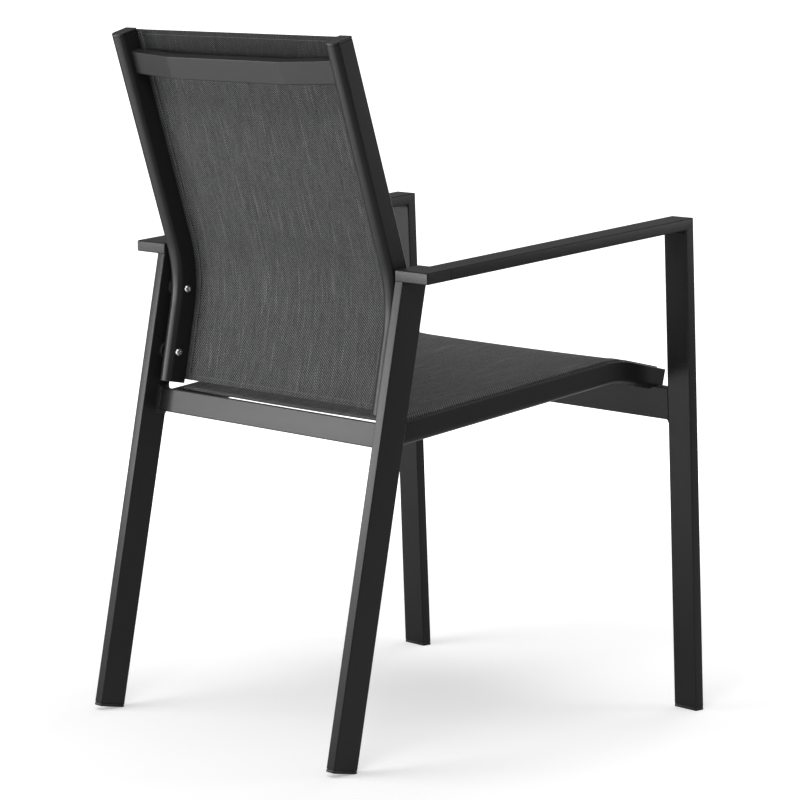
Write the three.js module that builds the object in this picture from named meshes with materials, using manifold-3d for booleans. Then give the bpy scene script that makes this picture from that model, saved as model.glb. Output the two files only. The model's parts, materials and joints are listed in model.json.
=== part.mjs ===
// Sling patio chair: a stacking armchair of welded flat tube, with bolted back rails and two fabric
// slings.
// Millimetres, +Z up. The origin is on the floor under the middle of the outline, the front faces -Y,
// and the sitter's left arm is at +X. Side outlines are drawn as (y, z) points.

import * as THREE from 'three';
import { mergeVertices } from 'three/addons/utils/BufferGeometryUtils.js';
import Module from 'manifold-3d';

const wasm = await Module();
wasm.setup();

const degree = Math.PI / 180;
const quarter = Math.PI / 2;

// Stance of the frame
const overallWidth = 578;
const overallDepth = 597;
const armFrontHeight = 648.8;
const armRearHeight = 608.75;
const frontLegLean = 2.53 * degree;
const rearLegLean = 10.86 * degree;

// Frame tubes
const tubeWall = 1.6;
const tubeCorner = 1.5;
const armWidth = 39.5;
const armDrop = 14.5;
const frontLegDepth = 14.4;
const rearLegWidth = 15;
const rearLegDepth = 38.3;
const rearLegStep = 5;

// Welds: members meet with a hair gap, and their corners are filled by concave beads
const weldGap = 0.1;
const weldEmbed = 0.8;
const armWeldRadius = 4.5;
const rearArmWeldRadius = 3;
const crossWeldRadius = 4.4;

// Crossbars under the seat, measured up along the legs that carry them
const frontCrossbarBottom = 383.9;
const frontCrossbarHeight = 42.2;
const rearCrossbarBottom = 395;
const rearCrossbarHeight = 29.5;
const rearCrossbarDepth = 14;

// Rail extrusion: deep round nose at the back, keder channel with its slot in the front face
const railWidth = 22.3;
const railDepth = 29.2;
const railNose = 8.4;
const railWall = 1.6;
const railWeb = 1.9;
const railCorner = 1.2;
const slotWidth = 3.2;
const slotOffset = 0.8;
const kederBoreRadius = 3.65;

// Back rail, bent once, measured on its front face from the corner of its two straights. The corner is
// ahead of the arms' rear end and below their underside there.
const backCornerAhead = 36.68;
const backCornerDrop = 21.55;
const backBendRadius = 199;
const backLowerLean = 10.3 * degree;
const backUpperLean = 17.1 * degree;
const backLowerLength = 148;
const backUpperLength = 329.6;

// Seat rail, bent once at the knee, measured on its top face from the corner of its two straights. The
// corner is behind the front of the feet.
const seatCornerBehind = 92.4;
const seatCornerHeight = 464;
const seatBendRadius = 138.5;
const seatFrontSlope = 13 * degree;
const seatRearSlope = 6.9 * degree;
const seatFrontLength = 81.2;

// Slings of woven fabric, doubled at the hems and at the side pockets
const plyThickness = 0.8;
const slingGap = 0.3;
const hemWidth = 8;
const pocketSeam = 9;
const pocketStep = 1;
const slingBend = 1.6;
const kederRadius = 2.2;
const kederGap = 0.25;
const kederSetback = 2;
const backSlingTopSetback = 0.8;
const backSlingBottomSetback = 4;
const seatSlingFrontSetback = 3;
const seatSlingRearSetback = 4.5;

// Top bar of the back, bowed rearward in three straights
const topBarHeight = 33.6;
const topBarThickness = 15;
const topBarRise = 279.3;
const topBarRear = 18;
const topBarBow = 12.2;
const topBarBendX = 111;

// Screws, rivet nuts and spacers between back rails and rear legs, down the legs from the arms
const boltDrops = [123.56, 39.76];
const boltInset = 14;
const boltRadius = 3;
const boltHoleGap = 0.3;
const boltLength = 37;
const boltHeadRadius = 5.25;
const boltHeadHeight = 3.3;
const boltHeadRim = 0.8;
const boltHeadFlatRadius = 2.9;
const socketRadius = 2.3;
const socketDepth = 2;
const spacerRadius = 11.7;
const spacerThickness = 5.4;
const spacerChamfer = 0.6;
const nutFlangeRadius = 5.6;
const nutFlangeHeight = 0.8;
const nutShankRadius = 4.3;
const nutBulgeRadius = 5.3;
const nutBulgeLength = 3.2;
const nutLength = 9.5;
const seatGap = 0.1;

// Plastic foot plugs, caps and end plugs
const plugLip = 3.3;
const plugGroove = 0.8;
const plugGrooveDepth = 0.8;
const plugStem = 20;
const plugRibDepth = 1;
const plugRibCount = 3;
const plugRootRise = 3;
const heelFlat = 0.8;
const capGrooveHeight = 1;
const capGrooveDepth = 0.7;
const capPlate = 3.1;
const capEdge = 1.1;
const capStem = 14;
const lowerPlugPlate = 1.3;
const frontCapPlate = 2.5;
const thinCapEdge = 0.5;
const stemGap = 0.3;
const stemRoot = 1;

// Fineness of the facets, and one overrun for every cut
const cornerSteps = 2;
const edgeSteps = 2;
const noseSteps = 8;
const boreSteps = 10;
const bendSteps = 8;
const weldSteps = 4;
const roundSegments = 20;
const socketSides = 6;
const mergeDistance = 1e-4;
const cutOverrun = 5;

// Levels that follow from the sizes above
const armOuterX = overallWidth / 2;
const armInnerX = armOuterX - armWidth;
const rearLegOuterX = armInnerX - rearLegStep;
const rearLegInnerX = rearLegOuterX - rearLegWidth;
const railOuterX = rearLegInnerX - spacerThickness;
const railInnerX = railOuterX - railWidth;
const railCentreX = railOuterX - railWidth / 2;
const rearTopDepth = rearLegDepth / Math.cos(rearLegLean);
const frontFoot = new THREE.Vector2(-overallDepth / 2, 0);
const rearHeel = new THREE.Vector2(overallDepth / 2, rearLegDepth * Math.sin(rearLegLean));
const armFrontY = frontFoot.x + armFrontHeight * Math.tan(frontLegLean);
const armUnderRear = armRearHeight - armDrop;
const armRearY = rearHeel.x - (armUnderRear - rearHeel.y) * Math.tan(rearLegLean);
const armSlope = Math.atan2(armFrontHeight - armRearHeight, armRearY - armFrontY);
const rearLegLength = (armUnderRear - rearHeel.y) / Math.cos(rearLegLean);
const backCorner = new THREE.Vector2(armRearY - backCornerAhead, armUnderRear - backCornerDrop);
const seatCorner = new THREE.Vector2(frontFoot.x + seatCornerBehind, seatCornerHeight);
const armThickness = armDrop * Math.cos(armSlope);
const doublePly = 2 * plyThickness;
const slingTop = doublePly + slingGap;
const kederBoreHalfChord = slotWidth / 2;
const kederBoreRise = Math.sqrt(kederBoreRadius ** 2 - kederBoreHalfChord ** 2);
const kederDown = -(railWall + kederBoreRise);
const kederX = railCentreX + slotOffset;
const seamX = railInnerX - pocketSeam;
const chamberTop = kederDown - kederBoreRadius - railWall;
const noseLevel = -railDepth + railNose;

const coat = new THREE.MeshStandardMaterial({ color: 0x46474a, roughness: 0.55, metalness: 0.35 });
const fabric = new THREE.MeshStandardMaterial({ color: 0x3e4042, roughness: 0.9, metalness: 0 });
const blackPlastic = new THREE.MeshStandardMaterial({ color: 0x121213, roughness: 0.6, metalness: 0 });
const rodPlastic = new THREE.MeshStandardMaterial({ color: 0x8d8f90, roughness: 0.5, metalness: 0 });
const stainless = new THREE.MeshStandardMaterial({ color: 0xc4c6c8, roughness: 0.28, metalness: 1 });
const zincSteel = new THREE.MeshStandardMaterial({ color: 0xa9a79c, roughness: 0.45, metalness: 1 });

// Outlines

// Points on an arc, an ellipse's where the two radii differ.
function arc(centre, radiusAcross, radiusUp, from, to, steps) {
  const points = [];
  for (let step = 0; step <= steps; step += 1) {
    const angle = from + ((to - from) * step) / steps;
    const across = centre.x + radiusAcross * Math.cos(angle);
    const up = centre.y + radiusUp * Math.sin(angle);
    points.push(new THREE.Vector2(across, up));
  }
  return points;
}

function roundedRectangle(width, height, radius) {
  const points = [];
  const corners = [[1, 1], [-1, 1], [-1, -1], [1, -1]];
  corners.forEach(([sideAcross, sideUp], turn) => {
    const centre = new THREE.Vector2(sideAcross * (width / 2 - radius), sideUp * (height / 2 - radius));
    points.push(...arc(centre, radius, radius, turn * quarter, (turn + 1) * quarter, cornerSteps));
  });
  return points;
}

// A rectangular tube's section: its outer outline with the bore as a hole.
function tubeSection(width, height) {
  const section = new THREE.Shape(roundedRectangle(width, height, tubeCorner));
  section.holes.push(new THREE.Path(boreOutline(width, height)));
  return section;
}

function boreOutline(width, height) {
  return roundedRectangle(width - 2 * tubeWall, height - 2 * tubeWall, tubeCorner / 2);
}

// The rail's outline without its slot, as its caps have it: across is outward, up is to the front.
function railOutline() {
  const half = railWidth / 2;
  const outerCorner = new THREE.Vector2(half - railCorner, -railCorner);
  const innerCorner = new THREE.Vector2(-half + railCorner, -railCorner);
  const nose = new THREE.Vector2(0, noseLevel);
  return [
    ...arc(outerCorner, railCorner, railCorner, 0, quarter, cornerSteps),
    ...arc(innerCorner, railCorner, railCorner, quarter, 2 * quarter, cornerSteps),
    ...arc(nose, half, railNose, 2 * quarter, 4 * quarter, noseSteps),
  ];
}

// The rail's main chamber behind the keder channel, less a clearance for the stems that fill it.
function chamberOutline(clearance = 0) {
  const half = railWidth / 2 - railWall - clearance;
  const top = chamberTop - clearance;
  const nose = new THREE.Vector2(0, noseLevel);
  return [
    new THREE.Vector2(half, top),
    new THREE.Vector2(-half, top),
    ...arc(nose, half, railNose - railWall - clearance, 2 * quarter, 4 * quarter, noseSteps),
  ];
}

// The whole extrusion: nose, flat sides, two lips with the slot between them into the round keder
// channel, the main chamber behind and a small one on either side of the channel.
function railSection() {
  const half = railWidth / 2;
  const outerCorner = new THREE.Vector2(half - railCorner, -railCorner);
  const innerCorner = new THREE.Vector2(-half + railCorner, -railCorner);
  const nose = new THREE.Vector2(0, noseLevel);
  const bore = new THREE.Vector2(slotOffset, kederDown);
  const slotAngle = Math.acos(kederBoreHalfChord / kederBoreRadius);
  const outline = [
    ...arc(outerCorner, railCorner, railCorner, 0, quarter, cornerSteps),
    new THREE.Vector2(slotOffset + kederBoreHalfChord, 0),
    ...arc(bore, kederBoreRadius, kederBoreRadius, slotAngle, -2 * quarter - slotAngle, boreSteps),
    new THREE.Vector2(slotOffset - kederBoreHalfChord, 0),
    ...arc(innerCorner, railCorner, railCorner, quarter, 2 * quarter, cornerSteps),
    ...arc(nose, half, railNose, 2 * quarter, 4 * quarter, noseSteps),
  ];
  const section = new THREE.Shape(outline);
  section.holes.push(new THREE.Path(chamberOutline()));
  const besideBore = kederBoreRadius + railWall;
  const bottom = chamberTop + railWeb;
  for (const hand of [1, -1]) {
    const near = slotOffset + hand * besideBore;
    const far = hand * (half - railWall);
    section.holes.push(new THREE.Path([
      new THREE.Vector2(near, bottom),
      new THREE.Vector2(far, bottom),
      new THREE.Vector2(far, -railWall),
      new THREE.Vector2(near, -railWall),
    ]));
  }
  return section;
}

// A sling's section from side to side: a flat ply, a doubled strip by each rail, a neck down each slot
// and a closed pocket round each keder rod. Across is X, up is to the front of the rails.
function slingSection() {
  const pocketRadius = kederRadius + kederGap + plyThickness;
  const neck = Math.asin(plyThickness / pocketRadius);
  const outline = [];
  for (const hand of [1, -1]) {
    const bore = new THREE.Vector2(hand * kederX, kederDown);
    const bend = new THREE.Vector2(hand * (kederX + plyThickness - slingBend), slingTop - slingBend);
    const half = [
      ...arc(bend, hand * slingBend, slingBend, quarter, 0, cornerSteps + 1),
      ...arc(bore, hand * pocketRadius, pocketRadius, quarter - neck, neck - 3 * quarter, boreSteps),
      new THREE.Vector2(hand * (kederX - plyThickness), slingGap),
      new THREE.Vector2(hand * seamX, slingGap),
      new THREE.Vector2(hand * (seamX - pocketStep), slingTop - plyThickness),
    ];
    outline.push(...(hand > 0 ? half : half.reverse()));
  }
  const section = new THREE.Shape(outline);
  for (const hand of [1, -1]) {
    const bore = new THREE.Vector2(hand * kederX, kederDown);
    const inner = kederRadius + kederGap;
    section.holes.push(new THREE.Path(arc(bore, inner, inner, 0, 4 * quarter, boreSteps).slice(1)));
  }
  return section;
}

// Solids

// A closed mesh with its vertices merged, no empty triangles and its faces out.
function closed(geometry) {
  geometry.deleteAttribute('normal');
  geometry.deleteAttribute('uv');
  const merged = mergeVertices(geometry, mergeDistance);
  const place = merged.attributes.position;
  const corner = [new THREE.Vector3(), new THREE.Vector3(), new THREE.Vector3()];
  const faces = [];
  let volume = 0;
  for (let face = 0; face < merged.index.count; face += 3) {
    const [i, j, k] = [0, 1, 2].map((step) => merged.index.getX(face + step));
    if (i !== j && j !== k && k !== i) {
      faces.push([i, j, k]);
      [i, j, k].forEach((vertex, step) => corner[step].fromBufferAttribute(place, vertex));
      volume += corner[0].dot(corner[1].clone().cross(corner[2]));
    }
  }
  merged.setIndex((volume < 0 ? faces.map((face) => face.reverse()) : faces).flat());
  merged.computeVertexNormals();
  return merged;
}

function toManifold(geometry) {
  const vertProperties = new Float32Array(geometry.attributes.position.array);
  const triVerts = new Uint32Array(geometry.index.array);
  return new wasm.Manifold(new wasm.Mesh({ numProp: 3, vertProperties, triVerts }));
}

function fromManifold(solid) {
  const mesh = solid.getMesh();
  const geometry = new THREE.BufferGeometry();
  geometry.setAttribute('position', new THREE.BufferAttribute(new Float32Array(mesh.vertProperties), 3));
  geometry.setIndex(Array.from(mesh.triVerts));
  return closed(geometry);
}

function cut(body, ...tools) {
  let solid = toManifold(body);
  for (const tool of tools) {
    solid = solid.subtract(toManifold(tool));
  }
  return fromManifold(solid);
}

function join(...bodies) {
  let solid = toManifold(bodies[0]);
  for (const body of bodies.slice(1)) {
    solid = solid.add(toManifold(body));
  }
  return fromManifold(solid);
}

// Carries a section through a row of stations, each of which places a section point in space.
function loft(section, stations) {
  const spans = stations.length - 1;
  const geometry = new THREE.ExtrudeGeometry(section, { depth: spans, steps: spans, bevelEnabled: false });
  const place = geometry.attributes.position;
  for (let vertex = 0; vertex < place.count; vertex += 1) {
    const station = stations[Math.round(place.getZ(vertex))];
    const point = station(place.getX(vertex), place.getY(vertex));
    place.setXYZ(vertex, point.x, point.y, point.z);
  }
  return closed(geometry);
}

function inSpace(x, side) {
  return new THREE.Vector3(x, side.x, side.y);
}

// A direction in the side view, from +Y towards +Z.
function sideways(angle) {
  return new THREE.Vector2(Math.cos(angle), Math.sin(angle));
}

// A straight member's frame: a point on its centre line, the way it runs and the way its section is up.
function memberAxis(x, centre, angle) {
  return {
    at: inSpace(x, centre),
    along: inSpace(0, sideways(angle)),
    right: new THREE.Vector3(1, 0, 0),
    up: inSpace(0, sideways(angle + quarter)),
  };
}

// The plane across the side view whose normal is at an angle, through a point and shifted along it.
function planeThrough(point, angle, shift = 0) {
  const normal = inSpace(0, sideways(angle));
  const on = inSpace(0, point).addScaledVector(normal, shift);
  return new THREE.Plane().setFromNormalAndCoplanarPoint(normal, on);
}

// The station where a straight member is cut by a plane.
function cutBy(axis, plane) {
  return (across, up) => {
    const point = axis.at.clone().addScaledVector(axis.right, across).addScaledVector(axis.up, up);
    const reach = -plane.distanceToPoint(point) / plane.normal.dot(axis.along);
    return point.addScaledVector(axis.along, reach);
  };
}

// The station at a distance along a straight member, its section drawn in by an inset on every side.
function levelOf(axis, distance, inset = 0, half = new THREE.Vector2(1, 1), middle = new THREE.Vector2()) {
  const shrink = new THREE.Vector2(1 - inset / half.x, 1 - inset / half.y);
  return (across, up) => axis.at.clone()
    .addScaledVector(axis.along, distance)
    .addScaledVector(axis.right, middle.x + (across - middle.x) * shrink.x)
    .addScaledVector(axis.up, middle.y + (up - middle.y) * shrink.y);
}

function meet(pointA, angleA, pointB, angleB) {
  const alongA = sideways(angleA);
  const alongB = sideways(angleB);
  const between = pointB.clone().sub(pointA);
  const reach = between.cross(alongB) / alongA.cross(alongB);
  return pointA.clone().addScaledVector(alongA, reach);
}

// The concave bead in the corner of two faces: it roots in the body behind faceA and stands off faceB.
function weldOutline(corner, faceA, faceB, radius) {
  const half = Math.acos(faceA.dot(faceB)) / 2;
  const tangent = radius / Math.tan(half);
  const bisector = faceA.clone().add(faceB).normalize();
  const centre = corner.clone().addScaledVector(bisector, radius / Math.sin(half));
  const onA = corner.clone().addScaledVector(faceA, tangent);
  const onB = corner.clone().addScaledVector(faceB, tangent);
  const start = onA.clone().sub(centre).angle();
  let turn = onB.clone().sub(centre).angle() - start;
  turn = Math.atan2(Math.sin(turn), Math.cos(turn));
  const bead = arc(centre, radius, radius, start, start + turn, weldSteps);
  const root = faceB.clone().negate();
  return [
    ...bead.slice(0, weldSteps),
    onB.clone().addScaledVector(faceA, weldGap),
    corner.clone().addScaledVector(faceA, weldGap).addScaledVector(root, weldEmbed),
    onA.clone().addScaledVector(root, weldEmbed),
  ];
}

// A line of two straights with an arc between, travelled from before its corner to after it.
function bentPath(corner, fromAngle, toAngle, radius) {
  const bend = fromAngle - toAngle;
  const reach = radius * Math.tan(bend / 2);
  const arcStart = corner.clone().addScaledVector(sideways(fromAngle), -reach);
  const centre = arcStart.clone().addScaledVector(sideways(fromAngle + quarter), -radius);
  const place = (travel) => {
    const share = Math.min(Math.max((travel + reach) / (2 * reach), 0), 1);
    const angle = fromAngle - bend * share;
    const at = Math.abs(travel) < reach
      ? centre.clone().addScaledVector(sideways(angle + quarter), radius)
      : corner.clone().addScaledVector(sideways(angle), travel);
    return { at, along: sideways(angle), out: sideways(angle + quarter) };
  };
  const stops = (from, to, ...others) => {
    const inner = [...others];
    for (let step = 0; step <= bendSteps; step += 1) {
      inner.push(reach * ((2 * step) / bendSteps - 1));
    }
    const kept = inner.filter((travel) => travel > from && travel < to);
    return [from, ...kept.sort((one, other) => one - other), to];
  };
  return { place, stops };
}

// The station of a section on a bent path: across is outward from x on the given hand, up is the
// path's own outward side.
function onPath(path, travel, x = 0, hand = 1) {
  const { at, out } = path.place(travel);
  return (across, up) => inSpace(hand * (x + across), at.clone().addScaledVector(out, up));
}

// Places that several pieces share

const backPath = bentPath(backCorner, quarter + backLowerLean, quarter - backUpperLean, backBendRadius);
const seatPath = bentPath(seatCorner, seatFrontSlope, -seatRearSlope, seatBendRadius);

const frontLegAngle = quarter - frontLegLean;
const rearLegAngle = quarter + rearLegLean;
const armAngle = 2 * quarter - armSlope;
const frontLegBack = frontFoot.clone().addScaledVector(sideways(-frontLegLean), frontLegDepth);
const armRearUnder = new THREE.Vector2(armRearY, armUnderRear);
const armFrontTop = new THREE.Vector2(armFrontY, armFrontHeight);
const frontInnerCorner = meet(armRearUnder, armAngle, frontLegBack, frontLegAngle);
const mitreAngle = armFrontTop.clone().sub(frontInnerCorner).angle();
const armEndFrontY = armRearY - rearTopDepth;

function frontLegAxis(hand) {
  const centre = frontFoot.clone().addScaledVector(sideways(-frontLegLean), frontLegDepth / 2);
  return memberAxis(hand * (armOuterX - armWidth / 2), centre, frontLegAngle);
}

// The rear leg is let down by the depth of the flat that its heel stands on.
function rearLegPoint(inset, rise) {
  return rearHeel.clone()
    .addScaledVector(sideways(rearLegAngle + quarter), inset)
    .addScaledVector(sideways(rearLegAngle), rise)
    .add(new THREE.Vector2(0, -heelFlat));
}

function rearLegAxis(hand) {
  const x = hand * (rearLegInnerX + rearLegWidth / 2);
  return memberAxis(x, rearLegPoint(rearLegDepth / 2, 0), rearLegAngle);
}

const boltPlaces = boltDrops.map((drop) => rearLegPoint(rearLegDepth - boltInset, rearLegLength - drop));

// A plain round drill through a wall, along X.
function drill(x, side, radius, length) {
  const geometry = new THREE.CylinderGeometry(radius, radius, length, roundSegments);
  geometry.rotateZ(quarter);
  geometry.translate(x, side.x, side.y);
  return closed(geometry);
}

// Frame members

function frontLeg(hand) {
  const axis = frontLegAxis(hand);
  const foot = planeThrough(new THREE.Vector2(0, plugLip + plugGroove), quarter);
  const mitre = planeThrough(frontInnerCorner, mitreAngle - quarter, -weldGap / 2);
  const leg = loft(tubeSection(armWidth, frontLegDepth), [cutBy(axis, foot), cutBy(axis, mitre)]);
  const underArm = sideways(armAngle + 2 * quarter);
  const downLeg = sideways(frontLegAngle + 2 * quarter);
  const outline = weldOutline(frontInnerCorner, downLeg, underArm, armWeldRadius);
  const from = hand * (armInnerX + tubeCorner);
  const to = hand * (armOuterX - tubeCorner);
  const stations = [from, to].map((x) => (y, z) => new THREE.Vector3(x, y, z));
  return join(leg, loft(new THREE.Shape(outline), stations));
}

function arm(hand) {
  const centre = new THREE.Vector2(armRearY, armRearHeight - armDrop / 2);
  const axis = memberAxis(hand * (armOuterX - armWidth / 2), centre, armAngle);
  const rear = planeThrough(new THREE.Vector2(armEndFrontY, 0), 0, -weldGap);
  const mitre = planeThrough(frontInnerCorner, mitreAngle - quarter, weldGap / 2);
  return loft(tubeSection(armWidth, armThickness), [cutBy(axis, rear), cutBy(axis, mitre)]);
}

function rearLeg(hand) {
  const axis = rearLegAxis(hand);
  const top = planeThrough(armRearUnder, armAngle - quarter, -weldGap);
  const foot = levelOf(axis, plugLip + plugGroove);
  const leg = loft(tubeSection(rearLegWidth, rearLegDepth), [foot, cutBy(axis, top)]);
  const holes = boltPlaces.map((place) => {
    const length = 2 * (tubeWall + cutOverrun);
    return drill(hand * rearLegInnerX, place, nutShankRadius + seatGap, length);
  });
  return cut(leg, ...holes);
}

// The cross piece that closes the rear of the arm and sits on the rear leg, hollow and open to the leg.
function armEnd(hand) {
  const middle = new THREE.Vector2(armRearY - rearTopDepth / 2, 0);
  middle.y = armUnderRear + armDrop / 2 + (rearTopDepth / 2) * Math.tan(armSlope);
  const place = (x, inset) => (across, up) => {
    const back = across * (1 - (2 * inset) / rearTopDepth);
    const rise = up * (1 - (2 * inset) / armDrop);
    const z = middle.y - back * Math.tan(armSlope) + rise;
    return new THREE.Vector3(hand * x, middle.x + back, z);
  };
  const outer = new THREE.Shape(roundedRectangle(rearTopDepth, armDrop, tubeCorner));
  const soft = [];
  for (let step = 0; step <= edgeSteps; step += 1) {
    const angle = (quarter * step) / edgeSteps;
    soft.push([tubeCorner * (1 - Math.sin(angle)), tubeCorner * (1 - Math.cos(angle))]);
  }
  const rising = soft.map(([inset, travel]) => place(rearLegInnerX + travel, inset));
  const falling = soft.map(([inset, travel]) => place(armOuterX - travel, inset)).reverse();
  const body = loft(outer, [...rising, ...falling]);
  const inner = [rearLegInnerX + tubeWall, armOuterX - tubeWall];
  const hollow = loft(outer, inner.map((x) => place(x, tubeWall)));
  const openingReach = rearTopDepth / 2 - 2 * tubeWall;
  const openingOutline = [
    new THREE.Vector2(-openingReach, -armDrop / 2 - cutOverrun),
    new THREE.Vector2(openingReach, -armDrop / 2 - cutOverrun),
    new THREE.Vector2(openingReach, 0),
    new THREE.Vector2(-openingReach, 0),
  ];
  const legBore = [rearLegInnerX + tubeWall, rearLegOuterX - tubeWall];
  const opening = loft(new THREE.Shape(openingOutline), legBore.map((x) => place(x, 0)));
  const bead = weldOutline(
    new THREE.Vector2(rearLegOuterX, 0),
    new THREE.Vector2(1, 0),
    new THREE.Vector2(0, -1),
    rearArmWeldRadius,
  );
  const front = armEndFrontY + tubeCorner;
  const back = armRearY - tubeCorner;
  const beadStations = [front, back].map((y) => (x, down) => {
    const under = armUnderRear + (armRearY - y) * Math.tan(armSlope);
    return new THREE.Vector3(hand * x, y, under + down);
  });
  return join(cut(body, hollow, opening), loft(new THREE.Shape(bead), beadStations));
}

// Stations of a crossbar between two legs, swelling to a concave bead at each end on the sides that
// grow.
function flaredStations(place, reach, grow) {
  const ends = [];
  for (let step = 0; step <= weldSteps; step += 1) {
    const angle = (quarter * step) / weldSteps;
    ends.push([crossWeldRadius * (1 - Math.sin(angle)), crossWeldRadius * (1 - Math.cos(angle))]);
  }
  const half = ends.map(([setback, swell]) => [reach - setback, swell]);
  const left = half.map(([x, swell]) => [-x, swell]).reverse();
  return [...left, ...half].map(([x, swell]) => (across, up) => {
    const [wide, high] = grow(across, up, swell);
    return place(x, wide, high);
  });
}

function frontCrossbar() {
  const centre = frontFoot.clone()
    .addScaledVector(sideways(-frontLegLean), frontLegDepth / 2)
    .addScaledVector(sideways(frontLegAngle), frontCrossbarBottom + frontCrossbarHeight / 2);
  const place = (x, across, up) => inSpace(x, centre.clone()
    .addScaledVector(sideways(-frontLegLean), across)
    .addScaledVector(sideways(frontLegAngle), up));
  const reach = armInnerX - weldGap;
  const downOnly = (across, up, swell) => [across, up < 0 ? up - swell : up];
  const outline = roundedRectangle(frontLegDepth, frontCrossbarHeight, tubeCorner);
  const bar = loft(new THREE.Shape(outline), flaredStations(place, reach, downOnly));
  const bore = new THREE.Shape(boreOutline(frontLegDepth, frontCrossbarHeight));
  const ends = [-reach - cutOverrun, reach + cutOverrun];
  return cut(bar, loft(bore, ends.map((x) => (across, up) => place(x, across, up))));
}

function rearCrossbarPlace(x, across, up) {
  const inset = rearLegDepth - rearCrossbarDepth / 2 - across;
  return inSpace(x, rearLegPoint(inset, rearCrossbarBottom + rearCrossbarHeight / 2 + up));
}

function rearCrossbar() {
  const reach = rearLegInnerX - weldGap;
  const awayFromFront = (across, up, swell) => [
    across > 0 ? across + swell : across,
    up + Math.sign(up) * swell,
  ];
  const outline = roundedRectangle(rearCrossbarDepth, rearCrossbarHeight, tubeCorner);
  const bar = loft(new THREE.Shape(outline), flaredStations(rearCrossbarPlace, reach, awayFromFront));
  const bore = new THREE.Shape(boreOutline(rearCrossbarDepth, rearCrossbarHeight));
  const ends = [-reach - cutOverrun, reach + cutOverrun];
  return cut(bar, loft(bore, ends.map((x) => (across, up) => rearCrossbarPlace(x, across, up))));
}

// Rails

// The space that the front crossbar takes out of the seat rails and their caps, which are coped over
// it. What a rail would leave as a thin fin before the crossbar goes too.
function crossbarCope(hand, ahead = 0) {
  const centre = frontFoot.clone()
    .addScaledVector(sideways(-frontLegLean), frontLegDepth / 2)
    .addScaledVector(sideways(frontLegAngle), frontCrossbarBottom);
  const wide = frontLegDepth / 2 + weldGap;
  const high = frontCrossbarHeight + weldGap;
  const outline = [
    new THREE.Vector2(-wide - ahead, 0),
    new THREE.Vector2(wide, 0),
    new THREE.Vector2(wide, high),
    new THREE.Vector2(-wide - ahead, high),
  ];
  const ends = [railInnerX - cutOverrun, railOuterX + cutOverrun];
  return loft(new THREE.Shape(outline), ends.map((x) => (across, up) => inSpace(hand * x, centre.clone()
    .addScaledVector(sideways(-frontLegLean), across)
    .addScaledVector(sideways(frontLegAngle), up))));
}

function seatRail(hand) {
  const straight = seatPath.place(seatFrontLength);
  const axis = {
    at: inSpace(hand * railCentreX, straight.at),
    along: inSpace(0, straight.along),
    right: new THREE.Vector3(hand, 0, 0),
    up: inSpace(0, straight.out),
  };
  const crossbarFace = rearLegPoint(rearLegDepth, rearCrossbarBottom);
  const weldFace = planeThrough(crossbarFace, rearLegAngle + quarter, weldGap);
  const stops = seatPath.stops(-seatFrontLength, seatFrontLength).slice(0, -1);
  const stations = stops.map((travel) => onPath(seatPath, travel, railCentreX, hand));
  const rail = loft(railSection(), [...stations, cutBy(axis, weldFace)]);
  return cut(rail, crossbarCope(hand, cutOverrun));
}

function backRail(hand) {
  const stops = backPath.stops(-backLowerLength, backUpperLength);
  const rail = loft(railSection(), stops.map((travel) => onPath(backPath, travel, railCentreX, hand)));
  const radius = boltRadius + boltHoleGap;
  const length = railWidth + 2 * cutOverrun;
  return cut(rail, ...boltPlaces.map((place) => drill(hand * railCentreX, place, radius, length)));
}

// A bar of three straights between the back rails, on the slant of their upper ends.
function backTopBar() {
  const { at, along, out } = backPath.place(topBarRise);
  const reach = railInnerX - weldGap;
  const bows = [[-reach, 0], [-topBarBendX, topBarBow], [topBarBendX, topBarBow], [reach, 0]];
  const place = (x, bow) => (across, up) => inSpace(x, at.clone()
    .addScaledVector(out, topBarThickness / 2 - topBarRear - across - bow)
    .addScaledVector(along, up + topBarHeight / 2));
  return loft(tubeSection(topBarThickness, topBarHeight), bows.map(([x, bow]) => place(x, bow)));
}

// Slings and their rods

// The stations of a sling: over the hem at either end the ply between the seams is thickened to two.
function slingStations(path, from, to) {
  const hemFrom = from + hemWidth;
  const hemTo = to - hemWidth;
  const stops = path.stops(from, to, hemFrom, hemFrom + pocketStep, hemTo - pocketStep, hemTo);
  return stops.map((travel) => {
    const hemmed = travel <= hemFrom || travel >= hemTo;
    const station = onPath(path, travel);
    return (across, up) => {
      const under = Math.abs(across) < seamX && up < slingTop - plyThickness / 2;
      return station(across, hemmed && under ? slingGap : up);
    };
  });
}

// A keder rod down the pocket of a sling's edge.
function kederRod(path, from, to, hand) {
  const centre = new THREE.Vector2(slotOffset, kederDown);
  const outline = arc(centre, kederRadius, kederRadius, 0, 4 * quarter, boreSteps).slice(1);
  const stops = path.stops(from + kederSetback, to - kederSetback);
  return loft(new THREE.Shape(outline), stops.map((travel) => onPath(path, travel, railCentreX, hand)));
}

const backSlingFrom = -backLowerLength + backSlingBottomSetback;
const backSlingTo = backUpperLength - backSlingTopSetback;
const seatSlingFrom = -seatFrontLength + seatSlingFrontSetback;
const seatWeldTop = meet(
  rearLegPoint(rearLegDepth, rearCrossbarBottom),
  rearLegAngle,
  seatCorner,
  -seatRearSlope,
);
const seatSlingTo = seatWeldTop.distanceTo(seatCorner) - seatSlingRearSetback;

// Plastic fittings

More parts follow.
